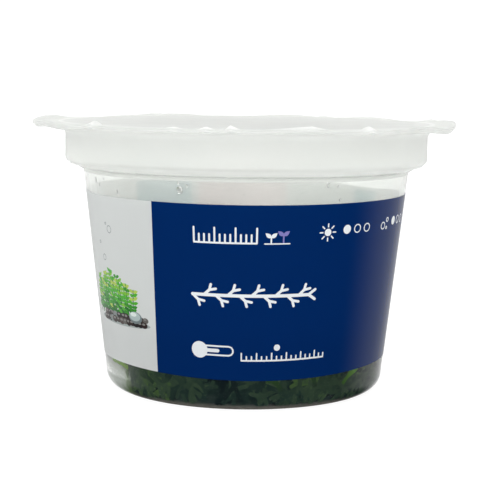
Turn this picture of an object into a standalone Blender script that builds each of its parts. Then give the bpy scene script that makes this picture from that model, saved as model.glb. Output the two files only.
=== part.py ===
"""A sealed tissue culture cup of crystalwort, a liverwort that grows as forked green ribbons.

Metres, +Z up. The cup stands on its foot ring: the origin is the middle of that ring's underside.
The side with the dark panel of the label faces -Y.
"""

import math
import random

import bmesh
import bpy
from mathutils import Matrix, Vector, noise
from mathutils.bvhtree import BVHTree

MM = 0.001

# The cup, pressed from one clear sheet. Radii and heights are of its outer side.
SHEET = 0.65 * MM
FLANGE_TOP = 64.2 * MM
FLANGE_RADIUS = 50.0 * MM
FLANGE_FILLET = 2.0 * MM
BAND_RADIUS = 44.0 * MM
BAND_FOOT = 56.4 * MM
BAND_ROUNDING = 1.2 * MM
LEDGE_FOOT = 53.1 * MM
NECK_RADIUS = 39.5 * MM
NECK_FOOT = 51.2 * MM
WALL_FOOT_RADIUS = 33.43 * MM  # of the tapered wall, run on down to the ground
WALL_TAPER = 0.1136  # radius gained for each unit of height
HEEL_TOP = 4.2 * MM  # where the wall turns in towards the foot
FOOT_OUTER = 29.6 * MM
FOOT_INNER = 26.8 * MM
PUSH_UP = 1.4 * MM  # how far the middle of the base is raised
TURN_STEPS = 56

# The peel-off film, sealed to the flange and as wavy as it
TOUCHING = 0.3 * MM  # the gap that pieces in contact keep
FILM = 0.3 * MM
FILM_RADIUS = 50.6 * MM
TAB_REACH = 1.5 * MM
TAB_HALF_WIDTH = math.radians(14)
TAB_DIRECTION = math.pi

# The label, wrapped round the wall
LABEL = 0.25 * MM
LABEL_FOOT = 7.8 * MM
LABEL_TOP = 47.9 * MM
SEAM_GAP = math.radians(2)
SEAM_DIRECTION = math.radians(170)

# The layer of gel, and the mat that grows on it
GEL_TOP = 3.0 * MM
MAT_FOOT = GEL_TOP + TOUCHING
MAT_TOP = 19.0 * MM
MAT_CROWN = 3.0 * MM  # rounding of its upper edge
MAT_HEEL = 2.5 * MM  # and of its lower edge
MAT_RINGS = 8
MAT_STEPS = 34
TUFT_SPACING = 11.0 * MM
TUFT_REACH = 0.75  # of the spacing, where a tuft's flank ends
TUFT_RELIEF = 4.5 * MM
SIDE_RELIEF = 2.0 * MM
GRAIN_RELIEF = 1.0 * MM

# Ribbons: a stalk that forks once, with notched tips
RIBBON_LENGTH = 7.5 * MM
RIBBON_WIDTH = 1.5 * MM
RIBBON_THICKNESS = 0.5 * MM
RIBBON_FORK = 3.8 * MM  # height of the fork
RIBBON_SPREAD = 0.28  # how far each branch leans out, as a share of the length
ROOT_DEPTH = 0.3  # share of its length that a tip has inside the mat
TIP_COUNT = 36
TIP_SPACING = 4.8 * MM
TIP_CLEARANCE = 0.5 * MM
MAT_CLEARANCE = RIBBON_THICKNESS + 2.5 * TOUCHING  # room for the loose ribbons at the wall

# Ribbons pressed flat against the wall: direction in degrees, height in mm, lean and size
LOOSE_RIBBONS = (
    (-61, 5.4, 0.15, 0.85),
    (-75, 5.0, 0.6, 0.75),
    (-47, 5.2, -0.5, 0.90),
    (-128, 5.2, 0.8, 0.85),
    (38, 5.0, -0.3, 1.00),
    (104, 5.2, 0.4, 0.90),
)

# Colours, in linear light
CLEAR_PLASTIC = (0.86, 0.88, 0.87)
MILKY_FILM = (0.82, 0.83, 0.83)
NAVY = (0.005, 0.020, 0.110)
AGAR = (0.70, 0.72, 0.60)
DEEP_GREEN = (0.020, 0.060, 0.012)
FRESH_GREEN = (0.090, 0.300, 0.020)


def clear_scene():
    for obj in list(bpy.data.objects):
        bpy.data.objects.remove(obj, do_unlink=True)


def collection(name):
    made = bpy.data.collections.new(name)
    bpy.context.scene.collection.children.link(made)
    return made


def material(name, colour, roughness, transmission=0.0, ior=1.5):
    made = bpy.data.materials.new(name)
    made.use_nodes = True
    shader = made.node_tree.nodes["Principled BSDF"]
    shader.inputs["Base Color"].default_value = (*colour, 1.0)
    shader.inputs["Roughness"].default_value = roughness
    shader.inputs["Metallic"].default_value = 0.0
    shader.inputs["Transmission Weight"].default_value = transmission
    shader.inputs["IOR"].default_value = ior
    return made


def piece(name, mesh, parts, finish):
    """An object of this mesh in a collection, smooth apart from its sharp edges."""
    obj = bpy.data.objects.new(name, mesh)
    parts.objects.link(obj)
    mesh.materials.clear()
    mesh.materials.append(finish)
    mesh.shade_smooth()
    mesh.set_sharp_from_angle(angle=math.radians(35))
    return obj


def shell(name, surface, thickness, parts, finish):
    """A piece of even thickness, which lies behind this surface."""
    obj = piece(name, surface, parts, finish)
    solidify = obj.modifiers.new("Thickness", "SOLIDIFY")
    solidify.thickness = thickness
    solidify.offset = -1.0
    solidify.use_even_offset = True
    return obj


def evaluated(obj):
    """The mesh of a draft object, with its modifiers applied. The draft is removed."""
    bpy.context.scene.collection.objects.link(obj)
    bpy.context.view_layer.update()
    graph = bpy.context.evaluated_depsgraph_get()
    mesh = bpy.data.meshes.new_from_object(obj.evaluated_get(graph))
    bpy.data.objects.remove(obj, do_unlink=True)
    return mesh


def turned(profile, steps=TURN_STEPS, start=0.0, sweep=math.tau):
    """The surface turned from a profile of (radius, height), which runs down its outer side."""
    mesh = bpy.data.meshes.new("profile")
    edges = [(i, i + 1) for i in range(len(profile) - 1)]
    mesh.from_pydata([(r, 0.0, z) for r, z in profile], edges, [])
    mesh.transform(Matrix.Rotation(start, 4, "Z"))
    draft = bpy.data.objects.new("draft", mesh)
    screw = draft.modifiers.new("Turn", "SCREW")
    screw.axis = "Z"
    screw.angle = sweep
    screw.steps = steps
    screw.render_steps = steps
    screw.use_merge_vertices = True
    screw.merge_threshold = 0.05 * MM
    return evaluated(draft)


def arc(centre, radii, start, end, count):
    """Points of an elliptical arc, ends included. Angles are in degrees."""
    angles = [math.radians(start + (end - start) * i / count) for i in range(count + 1)]
    return [(centre[0] + radii[0] * math.cos(a), centre[1] + radii[1] * math.sin(a)) for a in angles]


def wall_radius(z):
    """Outside of the tapered wall at this height."""
    return WALL_FOOT_RADIUS + WALL_TAPER * z


def heel_arc(inset, start, count):
    """The rounded heel between wall and foot, or a line this far inside it, down to its foot."""
    radii = (wall_radius(HEEL_TOP) - FOOT_OUTER - inset, HEEL_TOP - inset)
    return arc((FOOT_OUTER, HEEL_TOP), radii, start, -90, count)


def brim_wave(angle):
    """How far the warped brim lies above its own level, in this direction."""
    return MM * (
        0.25 * math.sin(7 * angle)
        + 0.21 * math.sin(9 * angle + 1.1)
        + 0.19 * math.sin(12 * angle - 2.3)
    )


def warp_brim(mesh):
    """Bends what stands out past the band up and down, most at the edge."""
    inner = BAND_RADIUS + FLANGE_FILLET / 2
    for vertex in mesh.vertices:
        radius = math.hypot(vertex.co.x, vertex.co.y)
        share = max(0.0, (radius - inner) / (FLANGE_RADIUS - inner))
        vertex.co.z += brim_wave(math.atan2(vertex.co.y, vertex.co.x)) * min(share, 1.0) ** 2


def make_cup(parts, finish):
    """Brim, wide band, sloping ledge, short neck, tapered wall, rounded heel and raised base."""
    brim_centre = (BAND_RADIUS + FLANGE_FILLET, FLANGE_TOP - SHEET - FLANGE_FILLET)
    band_centre = (BAND_RADIUS - BAND_ROUNDING, BAND_FOOT)
    step = NECK_FOOT - 0.5 * MM
    profile = [
        (FLANGE_RADIUS, FLANGE_TOP - SHEET),
        *arc(brim_centre, (FLANGE_FILLET, FLANGE_FILLET), 90, 180, 3),
        *arc(band_centre, (BAND_ROUNDING, BAND_ROUNDING), 0, -60, 2),
        (NECK_RADIUS + 0.5 * MM, LEDGE_FOOT + 0.3 * MM),
        (NECK_RADIUS, LEDGE_FOOT - 0.4 * MM),
        (NECK_RADIUS, NECK_FOOT),
        (wall_radius(step), step),
        *heel_arc(0.0, 0, 4),
        (FOOT_INNER, 0.0),
        (FOOT_INNER - PUSH_UP, PUSH_UP),
        (0.0, PUSH_UP),
    ]
    surface = turned(profile)
    warp_brim(surface)
    return shell("cup", surface, SHEET, parts, finish)


def make_film(parts, finish):
    """The lid: a film sealed on the brim, with a small tab to peel it by."""
    top = FLANGE_TOP + TOUCHING + FILM
    bend = BAND_RADIUS + FLANGE_FILLET / 2
    radii = (0.0, BAND_RADIUS * 0.55, bend, (bend + FILM_RADIUS) / 2, FILM_RADIUS)
    surface = turned([(r, top) for r in radii])
    warp_brim(surface)
    for vertex in surface.vertices:
        radius = math.hypot(vertex.co.x, vertex.co.y)
        angle = math.atan2(vertex.co.y, vertex.co.x)
        off = math.remainder(angle - TAB_DIRECTION, math.tau) / TAB_HALF_WIDTH
        if radius > FLANGE_RADIUS and abs(off) < 1:
            grown = 1.0 + TAB_REACH * math.cos(off * math.pi / 2) ** 2 / radius
            vertex.co.x *= grown
            vertex.co.y *= grown
    return shell("lid_film", surface, FILM, parts, finish)


def make_label(parts, finish):
    """A band round the tapered wall, whose two ends almost meet."""
    outside = TOUCHING + LABEL
    profile = [(wall_radius(z) + outside, z) for z in (LABEL_TOP, LABEL_FOOT)]
    start = SEAM_DIRECTION + SEAM_GAP / 2
    surface = turned(profile, start=start, sweep=math.tau - SEAM_GAP)
    return shell("label", surface, LABEL, parts, finish)


def make_gel(parts, finish):
    """What is left of the clear gel, set in the bottom of the cup."""
    gap = SHEET + TOUCHING
    start = -math.degrees(math.asin((HEEL_TOP - GEL_TOP) / (HEEL_TOP - gap)))
    shift = gap * math.tan(math.radians(45) / 2)  # of the corners of the slope, which is at 45 degrees
    profile = [
        (0.0, GEL_TOP),
        *heel_arc(gap, start, 3),
        (FOOT_INNER + shift, gap),
        (FOOT_INNER + shift - PUSH_UP, gap + PUSH_UP),
        (0.0, gap + PUSH_UP),
    ]
    return piece("nutrient_gel", turned(profile, steps=40), parts, finish)


def ribbon_outline():
    """Outline of a ribbon that grows along +Y: a stalk, a fork and two notched tips."""
    half = RIBBON_WIDTH / 2
    spread = RIBBON_LENGTH * RIBBON_SPREAD
    shoulder = RIBBON_LENGTH * 0.86
    notch = RIBBON_LENGTH * 0.93
    right = [
        (half, 0.0),
        (half, RIBBON_FORK * 0.8),
        (spread + half * 0.9, shoulder),
        (spread + half, RIBBON_LENGTH),
        (spread, notch),
        (spread - half, RIBBON_LENGTH),
        (spread - half * 1.1, shoulder),
    ]
    left = [(-x, y) for x, y in reversed(right)]
    return [*right, (0.0, RIBBON_FORK * 1.15), *left]


def ribbon_mesh():
    """One forked ribbon as a thin closed solid that starts at the origin."""
    outline = ribbon_outline()
    curve = bpy.data.curves.new("ribbon", "CURVE")
    curve.dimensions = "2D"
    curve.fill_mode = "BOTH"
    curve.extrude = RIBBON_THICKNESS / 2
    spline = curve.splines.new("POLY")
    spline.points.add(len(outline) - 1)
    spline.use_cyclic_u = True
    for point, (x, y) in zip(spline.points, outline):
        point.co = (x, y, 0.0, 1.0)
    mesh = evaluated(bpy.data.objects.new("draft", curve))
    bm = bmesh.new()
    bm.from_mesh(mesh)
    bmesh.ops.remove_doubles(bm, verts=bm.verts, dist=0.01 * MM)
    bmesh.ops.recalc_face_normals(bm, faces=bm.faces)
    bm.to_mesh(mesh)
    bm.free()
    return mesh


def mat_body():
    """The dense part of the mat: a cushion that fills the cup, raised in rounded tufts."""
    foot = wall_radius(MAT_FOOT) - SHEET - MAT_CLEARANCE
    side = wall_radius(MAT_TOP) - SHEET - MAT_CLEARANCE
    profile = [
        *[((side - MAT_CROWN) * i / MAT_RINGS, MAT_TOP) for i in range(MAT_RINGS)],
        *arc((side - MAT_CROWN, MAT_TOP - MAT_CROWN), (MAT_CROWN, MAT_CROWN), 80, 0, 2),
        ((foot + side) / 2, (MAT_FOOT + MAT_TOP) / 2),
        *arc((foot - MAT_HEEL, MAT_FOOT + MAT_HEEL), (MAT_HEEL, MAT_HEEL), 0, -90, 2),
        (0.0, MAT_FOOT),
    ]
    mesh = turned(profile, steps=MAT_STEPS)
    normals = [vertex.normal.copy() for vertex in mesh.vertices]
    for vertex, normal in zip(mesh.vertices, normals):
        to_centre = noise.voronoi(vertex.co / TUFT_SPACING)[0][0]
        tuft = max(0.0, 1.0 - (to_centre / TUFT_REACH) ** 2)
        grain = noise.noise(vertex.co / (TUFT_SPACING / 2))
        if normal.z > -0.5:
            lift = TUFT_RELIEF * (tuft - 0.5) + GRAIN_RELIEF * grain
            vertex.co.z += lift * max(0.0, normal.z) ** 2
            vertex.co.xy -= normal.xy * SIDE_RELIEF * (1.0 - tuft)
    return mesh


def clears_wall(mesh):
    """True if all of this mesh keeps clear of the inside of the wall."""
    limit = SHEET + TIP_CLEARANCE
    return all(v.co.xy.length < wall_radius(v.co.z) - limit for v in mesh.vertices)


def free_tips(body):
    """Ribbons rooted in the mat's top, each leaning its own way, as one mesh."""
    rng = random.Random(7)
    ribbon = ribbon_mesh()
    ground = bmesh.new()
    ground.from_mesh(body)
    tree = BVHTree.FromBMesh(ground)
    ground.free()
    tips = bmesh.new()
    roots = []
    while len(roots) < TIP_COUNT:
        reach = (WALL_FOOT_RADIUS - RIBBON_LENGTH / 2) * math.sqrt(rng.random())
        angle = rng.uniform(0.0, math.tau)
        size = rng.uniform(0.7, 1.0)
        lean = Vector((rng.gauss(0.0, 0.5), rng.gauss(0.0, 0.5), 1.0))
        twist = Matrix.Rotation(rng.uniform(0.0, math.tau), 4, "Y")
        above = Vector((reach * math.cos(angle), reach * math.sin(angle), FLANGE_TOP))
        spot, normal, _, _ = tree.ray_cast(above, Vector((0.0, 0.0, -1.0)))
        if any((spot - other).length < TIP_SPACING for other in roots):
            continue
        along = (normal * 0.5 + lean).normalized()
        root = spot - along * RIBBON_LENGTH * size * ROOT_DEPTH
        upright = along.to_track_quat("Y", "Z").to_matrix().to_4x4()
        copy = ribbon.copy()
        copy.transform(Matrix.Translation(root) @ upright @ twist @ Matrix.Scale(size, 4))
        if clears_wall(copy):
            tips.from_mesh(copy)
            roots.append(spot)
    mesh = bpy.data.meshes.new("free_tips")
    tips.to_mesh(mesh)
    tips.free()
    return mesh


def make_mat(parts, cutters, finish):
    """The tangled mat of crystalwort, one mass with its free tips grown out of it."""
    body = mat_body()
    tips = bpy.data.objects.new("free_tips", free_tips(body))
    cutters.objects.link(tips)
    tips.hide_render = True
    tips.display_type = "WIRE"
    mat = piece("crystalwort_mat", body, parts, finish)
    join = mat.modifiers.new("Tips", "BOOLEAN")
    join.operation = "UNION"
    join.use_self = True
    join.object = tips
    return mat


def make_loose_ribbons(parts, finish):
    """Ribbons that lie flat against the inside of the wall, beside the mat, and follow its curve."""
    depth = SHEET + TOUCHING + RIBBON_THICKNESS / 2 + 0.05 * MM
    for number, (degrees, foot, lean, size) in enumerate(LOOSE_RIBBONS, start=1):
        mesh = ribbon_mesh()
        mesh.transform(Matrix.Rotation(lean, 4, "Z") @ Matrix.Scale(size, 4))
        for vertex in mesh.vertices:
            height = foot * MM + vertex.co.y
            radius = wall_radius(height) - depth + vertex.co.z
            angle = math.radians(degrees) + vertex.co.x / radius
            vertex.co = (radius * math.cos(angle), radius * math.sin(angle), height)
        piece(f"loose_ribbon_{number}", mesh, parts, finish)


def main():
    clear_scene()
    parts = collection("crystalwort_culture_cup")
    cutters = collection("cutters")
    plastic = material("clear polypropylene", CLEAR_PLASTIC, 0.12, transmission=1.0, ior=1.49)
    film = material("milky sealing film", MILKY_FILM, 0.3, transmission=0.6)
    paper = material("printed label", NAVY, 0.45)
    agar = material("agar gel", AGAR, 0.1, transmission=0.9, ior=1.34)
    dense = material("crystalwort, dense", DEEP_GREEN, 0.6)
    fresh = material("crystalwort, fresh", FRESH_GREEN, 0.5)
    make_cup(parts, plastic)
    make_film(parts, film)
    make_label(parts, paper)
    make_gel(parts, agar)
    make_mat(parts, cutters, dense)
    make_loose_ribbons(parts, fresh)


main()
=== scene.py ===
"""A sealed tissue culture cup of crystalwort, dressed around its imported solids.

The cup stands on z = 0 and its front faces -Y. The sections follow the cup as it is made and filled:
the pressed cup, the gel, the plants, the condensation, the lid film and the label. The stage comes last.
"""

import math
import random

import bpy
import numpy as np
from mathutils import Matrix, Vector, geometry, noise


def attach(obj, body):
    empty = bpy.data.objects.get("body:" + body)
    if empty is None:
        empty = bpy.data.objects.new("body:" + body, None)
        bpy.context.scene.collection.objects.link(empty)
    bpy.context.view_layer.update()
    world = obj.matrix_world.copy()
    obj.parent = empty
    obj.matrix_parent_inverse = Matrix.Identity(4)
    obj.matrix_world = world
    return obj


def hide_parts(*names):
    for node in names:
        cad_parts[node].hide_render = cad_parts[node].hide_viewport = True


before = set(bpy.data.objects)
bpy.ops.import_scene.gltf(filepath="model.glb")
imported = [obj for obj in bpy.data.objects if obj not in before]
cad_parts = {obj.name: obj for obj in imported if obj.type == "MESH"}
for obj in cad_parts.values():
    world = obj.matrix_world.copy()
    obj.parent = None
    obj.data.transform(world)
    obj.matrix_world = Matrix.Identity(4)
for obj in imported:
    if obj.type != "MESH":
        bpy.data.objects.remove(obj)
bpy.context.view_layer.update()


# The cup
# Thin clear polypropylene, pressed from a warmed sheet: a flat wavy brim, a wide frosted band under it,
# a sloping ledge, a short neck and a tapered wall down to a rounded heel and a raised middle.

MM = 0.001
SHEET = 0.65 * MM
FLANGE_TOP = 64.2 * MM
FLANGE_RADIUS = 50.0 * MM
FLANGE_FILLET = 2.0 * MM
BAND_RADIUS = 44.0 * MM
BAND_FOOT = 56.4 * MM
BAND_ROUNDING = 1.2 * MM
LEDGE_FOOT = 53.3 * MM
NECK_RADIUS = 39.5 * MM
NECK_BEND = 0.8 * MM
# Below this height the wall is a true cone, and above it flares out to the neck.
FLARE_FOOT = 49.2 * MM
WALL_FOOT_RADIUS = 33.43 * MM
WALL_TAPER = 0.1136
HEEL_TOP = 4.2 * MM
FOOT_OUTER = 29.6 * MM
FOOT_INNER = 26.8 * MM
PUSH_UP = 1.4 * MM
TAB_REACH = 1.5 * MM
TAB_HALF_WIDTH = math.radians(14)
TAB_DIRECTION = math.pi
FRONT = -math.pi / 2
# The waves that go round the brim: how many, how high in mm, and how far turned.
BRIM_WAVES = ((7, 0.25, 0.0), (9, 0.21, 1.1), (12, 0.19, -2.3))
# Where the brim curls up: the direction, how high in mm, and half the width.
BRIM_CURLS = ((0.0, 0.62, math.radians(22)), (math.pi, 0.36, math.radians(26)))
# At the front the brim lies almost flat.
BRIM_CALM = 0.85
CALM_HALF_WIDTH = math.radians(75)


def arc(centre, radii, start, end, count):
    """Points of an elliptical arc, ends included. Angles are in degrees."""
    angles = [math.radians(start + (end - start) * i / count) for i in range(count + 1)]
    return [(centre[0] + radii[0] * math.cos(a), centre[1] + radii[1] * math.sin(a)) for a in angles]


def straight(start, end, count):
    """Points along a straight stretch, without its ends."""
    shares = [i / count for i in range(1, count)]
    return [tuple(a + (b - a) * share for a, b in zip(start, end)) for share in shares]


def turned(name, profile, steps):
    """The surface turned from a profile of (radius, height), which runs down its outer side."""
    angles = np.arange(steps) * math.tau / steps
    points = []
    rings = []
    for radius, height in profile:
        if radius == 0.0:
            rings.append([len(points)] * steps)
            points.append((0.0, 0.0, height))
        else:
            rings.append(range(len(points), len(points) + steps))
            points += [(radius * math.cos(a), radius * math.sin(a), height) for a in angles]
    faces = []
    for upper, lower in zip(rings, rings[1:]):
        for i in range(steps):
            j = (i + 1) % steps
            corners = [upper[i], lower[i], lower[j], upper[j]]
            faces.append(list(dict.fromkeys(corners)))
    mesh = bpy.data.meshes.new(name)
    mesh.from_pydata(points, [], faces)
    mesh.shade_smooth()
    return mesh


def wall_radius(z):
    """Outside of the tapered wall at this height."""
    return WALL_FOOT_RADIUS + WALL_TAPER * z


def bell(angle, direction, half_width):
    """A smooth hump: 1 in this direction, and 0 from half a width away from it on."""
    off = abs(math.remainder(angle - direction, math.tau)) / half_width
    return math.cos(min(off, 1.0) * math.pi / 2) ** 2


def brim_wave(angle):
    """How far the warped brim lies above its own level, in this direction."""
    gentle = sum(high * math.sin(count * angle + turn) for count, high, turn in BRIM_WAVES)
    curled = sum(high * bell(angle, direction, half) for direction, high, half in BRIM_CURLS)
    calm = 1.0 - BRIM_CALM * bell(angle, FRONT, CALM_HALF_WIDTH)
    return MM * (gentle * calm + curled)


def warp_brim(mesh):
    """Bends what stands out past the band up and down, most at the edge, and draws out the tab."""
    inner = BAND_RADIUS + FLANGE_FILLET / 2
    for vertex in mesh.vertices:
        radius, angle = vertex.co.xy.length, math.atan2(vertex.co.y, vertex.co.x)
        share = min(1.0, max(0.0, (radius - inner) / (FLANGE_RADIUS - inner)))
        vertex.co.z += brim_wave(angle) * share ** 2
        if radius > FLANGE_RADIUS - 1.0 * MM:
            vertex.co.xy *= 1.0 + TAB_REACH * bell(angle, TAB_DIRECTION, TAB_HALF_WIDTH) / radius


def piece(name, mesh, slot, *nodes):
    """An object of this mesh that rides with the cup and stands for these nodes."""
    obj = bpy.data.objects.new(name, mesh)
    bpy.context.scene.collection.objects.link(obj)
    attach(obj, "root")
    if nodes:
        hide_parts(*nodes)
    return obj


def thicken(obj, thickness):
    """Gives an open surface an even thickness behind it."""
    solidify = obj.modifiers.new("Thickness", "SOLIDIFY")
    solidify.thickness = thickness
    solidify.offset = -1.0
    solidify.use_even_offset = True


def linear(hex_colour):
    """An sRGB hex colour as linear red, green, blue and alpha."""
    shares = [int(hex_colour[i:i + 2], 16) / 255 for i in (1, 3, 5)]
    return (*[s / 12.92 if s <= 0.04045 else ((s + 0.055) / 1.055) ** 2.4 for s in shares], 1.0)


def new_material(name):
    """A material of this name that holds no nodes yet."""
    made = bpy.data.materials.new(name)
    made.use_nodes = True
    made.node_tree.nodes.clear()
    return made


def add_node(material, kind, settings=None, links=None):
    """Adds a node with its settings and input values, and links its inputs from other outputs."""
    made = material.node_tree.nodes.new(kind)
    for key, value in (settings or {}).items():
        if isinstance(key, int) or key in made.inputs:
            made.inputs[key].default_value = value
        else:
            setattr(made, key, value)
    for key, source in (links or {}).items():
        material.node_tree.links.new(source, made.inputs[key])
    return made


def milky_plastic(material, colour, see_through, milk, glowing, normal=None):
    """Plastic that is part clear and part cloudy: the cloud lights up from both sides. The lamps shine
    through it, because so thin a sheet casts no shadow."""
    tilt = {"Normal": normal} if normal else {}
    lit = add_node(material, "ShaderNodeBsdfDiffuse", links={"Color": colour, **tilt}).outputs[0]
    glow = add_node(material, "ShaderNodeBsdfTranslucent", links={"Color": colour, **tilt}).outputs[0]
    cloudy = add_node(material, "ShaderNodeMixShader", {0: glowing}, {1: lit, 2: glow}).outputs[0]
    sheet = add_node(
        material, "ShaderNodeMixShader", links={0: milk, 1: see_through, 2: cloudy}
    ).outputs[0]
    shadow = add_node(material, "ShaderNodeLightPath").outputs["Is Shadow Ray"]
    open_to_lamps = add_node(
        material, "ShaderNodeBsdfTransparent", {"Color": linear("#fafafa")}
    ).outputs[0]
    surface = add_node(
        material, "ShaderNodeMixShader", links={0: shadow, 1: sheet, 2: open_to_lamps}
    ).outputs[0]
    add_node(material, "ShaderNodeOutputMaterial", links={"Surface": surface})


def pressed_polypropylene():
    """Clear sheet that goes milky where it is drawn thickest: the wall shows what is behind it, and the
    band and brim only glow. Along the tight bend at the ledge's foot the sheet is clouded, and a dull grey
    line of painted shade is laid into its colour. The sheet flowed in streaks about 14 mm wide."""
    made = new_material("clear polypropylene")
    place = add_node(made, "ShaderNodeTexCoord").outputs["Object"]
    height = add_node(made, "ShaderNodeSeparateXYZ", links={0: place}).outputs["Z"]
    flow = add_node(
        made, "ShaderNodeTexNoise", {"Scale": 1 / (14 * MM), "Detail": 3.0}, {"Vector": place}
    ).outputs[0]
    roughness = add_node(
        made, "ShaderNodeMapRange",
        {"interpolation_type": "SMOOTHSTEP", "From Min": LEDGE_FOOT - 1 * MM,
         "From Max": LEDGE_FOOT + 2 * MM, "To Min": 0.04, "To Max": 0.38},
        {"Value": height},
    ).outputs[0]
    neck = add_node(
        made, "ShaderNodeMapRange",
        {"interpolation_type": "SMOOTHSTEP", "From Min": FLARE_FOOT - 5 * MM, "From Max": FLARE_FOOT,
         "To Min": 0.004, "To Max": 0.2},
        {"Value": height},
    ).outputs[0]
    thick = add_node(
        made, "ShaderNodeMapRange",
        {"From Min": LEDGE_FOOT, "From Max": FLANGE_TOP - 2.5 * MM, "To Min": 0.0, "To Max": 0.3},
        {"Value": height},
    ).outputs[0]
    drawn = add_node(made, "ShaderNodeMath", {"operation": "ADD"}, {0: neck, 1: thick}).outputs[0]
    uneven = add_node(
        made, "ShaderNodeMapRange", {"From Min": 0.3, "From Max": 0.7, "To Min": 0.85, "To Max": 1.15},
        {"Value": flow},
    ).outputs[0]
    clouded = add_node(
        made, "ShaderNodeMath", {"operation": "MULTIPLY"}, {0: drawn, 1: uneven}
    ).outputs[0]
    above_fold = add_node(
        made, "ShaderNodeMath", {"operation": "SUBTRACT", 1: LEDGE_FOOT + 0.1 * MM}, {0: height}
    ).outputs[0]
    off_fold = add_node(made, "ShaderNodeMath", {"operation": "ABSOLUTE"}, {0: above_fold}).outputs[0]
    # Painted shade: a thin band along the bend at the ledge's foot, clouded and painted a darker grey.
    fold = add_node(
        made, "ShaderNodeMapRange",
        {"interpolation_type": "SMOOTHSTEP", "From Min": 0.8 * MM, "From Max": 0.3 * MM, "To Max": 0.5},
        {"Value": off_fold},
    ).outputs[0]
    milk = add_node(made, "ShaderNodeMath", {"operation": "MAXIMUM"}, {0: clouded, 1: fold}).outputs[0]
    bump = add_node(
        made, "ShaderNodeBump", {"Strength": 0.04, "Distance": 0.15 * MM}, {"Height": flow}
    ).outputs[0]
    clear = add_node(
        made, "ShaderNodeBsdfPrincipled",
        {"Base Color": linear("#f7f9f7"), "IOR": 1.49, "Transmission Weight": 1.0},
        {"Roughness": roughness, "Normal": bump},
    ).outputs[0]
    # Painted shade: the milky tone is painted darker towards the top, up under the brim and the film, and
    # lighter towards the band's foot.
    lower = add_node(
        made, "ShaderNodeMapRange",
        {"interpolation_type": "SMOOTHSTEP", "From Min": BAND_FOOT + 6 * MM, "From Max": BAND_FOOT},
        {"Value": height},
    ).outputs[0]
    even = add_node(
        made, "ShaderNodeMix", {"data_type": "RGBA", 6: linear("#dcdddb"), 7: linear("#e9eae7")},
        {0: lower},
    ).outputs[2]
    # The band's tone with the painted shade of the fold line laid in as a darker grey.
    tone_with_painted_fold_shade = add_node(
        made, "ShaderNodeMix", {"data_type": "RGBA", 7: linear("#b4b8b3")}, {0: fold, 6: even}
    ).outputs[2]
    milky_plastic(made, tone_with_painted_fold_shade, clear, milk, 0.5)
    return made


def cup_profile():
    """The outer side of the cup, from the edge of the brim down to the middle of the base."""
    brim_centre = (BAND_RADIUS + FLANGE_FILLET, FLANGE_TOP - SHEET - FLANGE_FILLET)
    band_centre = (BAND_RADIUS - BAND_ROUNDING, BAND_FOOT)
    edge = (FLANGE_RADIUS, FLANGE_TOP - SHEET)
    brim = arc(brim_centre, (FLANGE_FILLET, FLANGE_FILLET), 90, 180, 8)
    shoulder = arc(band_centre, (BAND_ROUNDING, BAND_ROUNDING), 0, -60, 6)
    ledge_end = (NECK_RADIUS + 0.5 * MM, LEDGE_FOOT + 0.3 * MM)
    # Two shallow steps in the ledge, left where the sheet was drawn over the tool.
    creases = [
        (NECK_RADIUS + 3.65 * MM, LEDGE_FOOT + 2.0 * MM),
        (NECK_RADIUS + 3.5 * MM, LEDGE_FOOT + 1.6 * MM),
        (NECK_RADIUS + 1.6 * MM, LEDGE_FOOT + 1.0 * MM),
        (NECK_RADIUS + 1.35 * MM, LEDGE_FOOT + 0.8 * MM),
    ]
    bend = NECK_BEND
    neck = arc((NECK_RADIUS + bend, LEDGE_FOOT - bend / 2), (bend, bend), 115, 180, 4)
    wall_top = (wall_radius(FLARE_FOOT), FLARE_FOOT)
    heel = arc((FOOT_OUTER, HEEL_TOP), (wall_radius(HEEL_TOP) - FOOT_OUTER, HEEL_TOP), 0, -90, 12)
    slope_top = (FOOT_INNER - PUSH_UP, PUSH_UP)
    return [
        edge, *straight(edge, brim[0], 6),
        *brim, *straight(brim[-1], shoulder[0], 5),
        *shoulder, *creases, ledge_end,
        *neck, *straight(neck[-1], wall_top, 3),
        wall_top, *straight(wall_top, heel[0], 14),
        *heel, (FOOT_INNER + 0.3 * MM, 0.0), (FOOT_INNER - 0.2 * MM, 0.15 * MM),
        slope_top, *straight(slope_top, (0.0, PUSH_UP), 6), (0.0, PUSH_UP),
    ]


cup_mesh = turned("pressed_cup", cup_profile(), steps=180)
warp_brim(cup_mesh)
cup_mesh.materials.append(pressed_polypropylene())
cup = piece("pressed_cup", cup_mesh, "cup_plastic", "cup")
thicken(cup, SHEET)


# The gel
# Agar with nutrients, poured hot into the cup. The plants have used all but a thin layer and stained it.
# At the left a pale lump of it still stands up against the wall.

GEL_TOP = 3.0 * MM
# A wet thing sinks into the wall by this trace, because no air is left between them.
WETTING = 0.03 * MM
# The gel creeps up the wall over this distance.
MENISCUS = 0.8 * MM
LUMP_DIRECTION = math.pi
LUMP_HALF_WIDTH = math.radians(72)
LUMP_RISE = 5.2 * MM
# The lump keeps its full height for most of its width, and slopes down inwards like a shore.
LUMP_FULLNESS = 2.2
SHORE_RADIUS = 24.0 * MM
SHORE_WIDTH = 7.0 * MM
# How far left a direction points, as its X: the gel is pale up to the first, and stained from the second.
PALE_TO = -0.80
STAINED_FROM = -0.68


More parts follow.
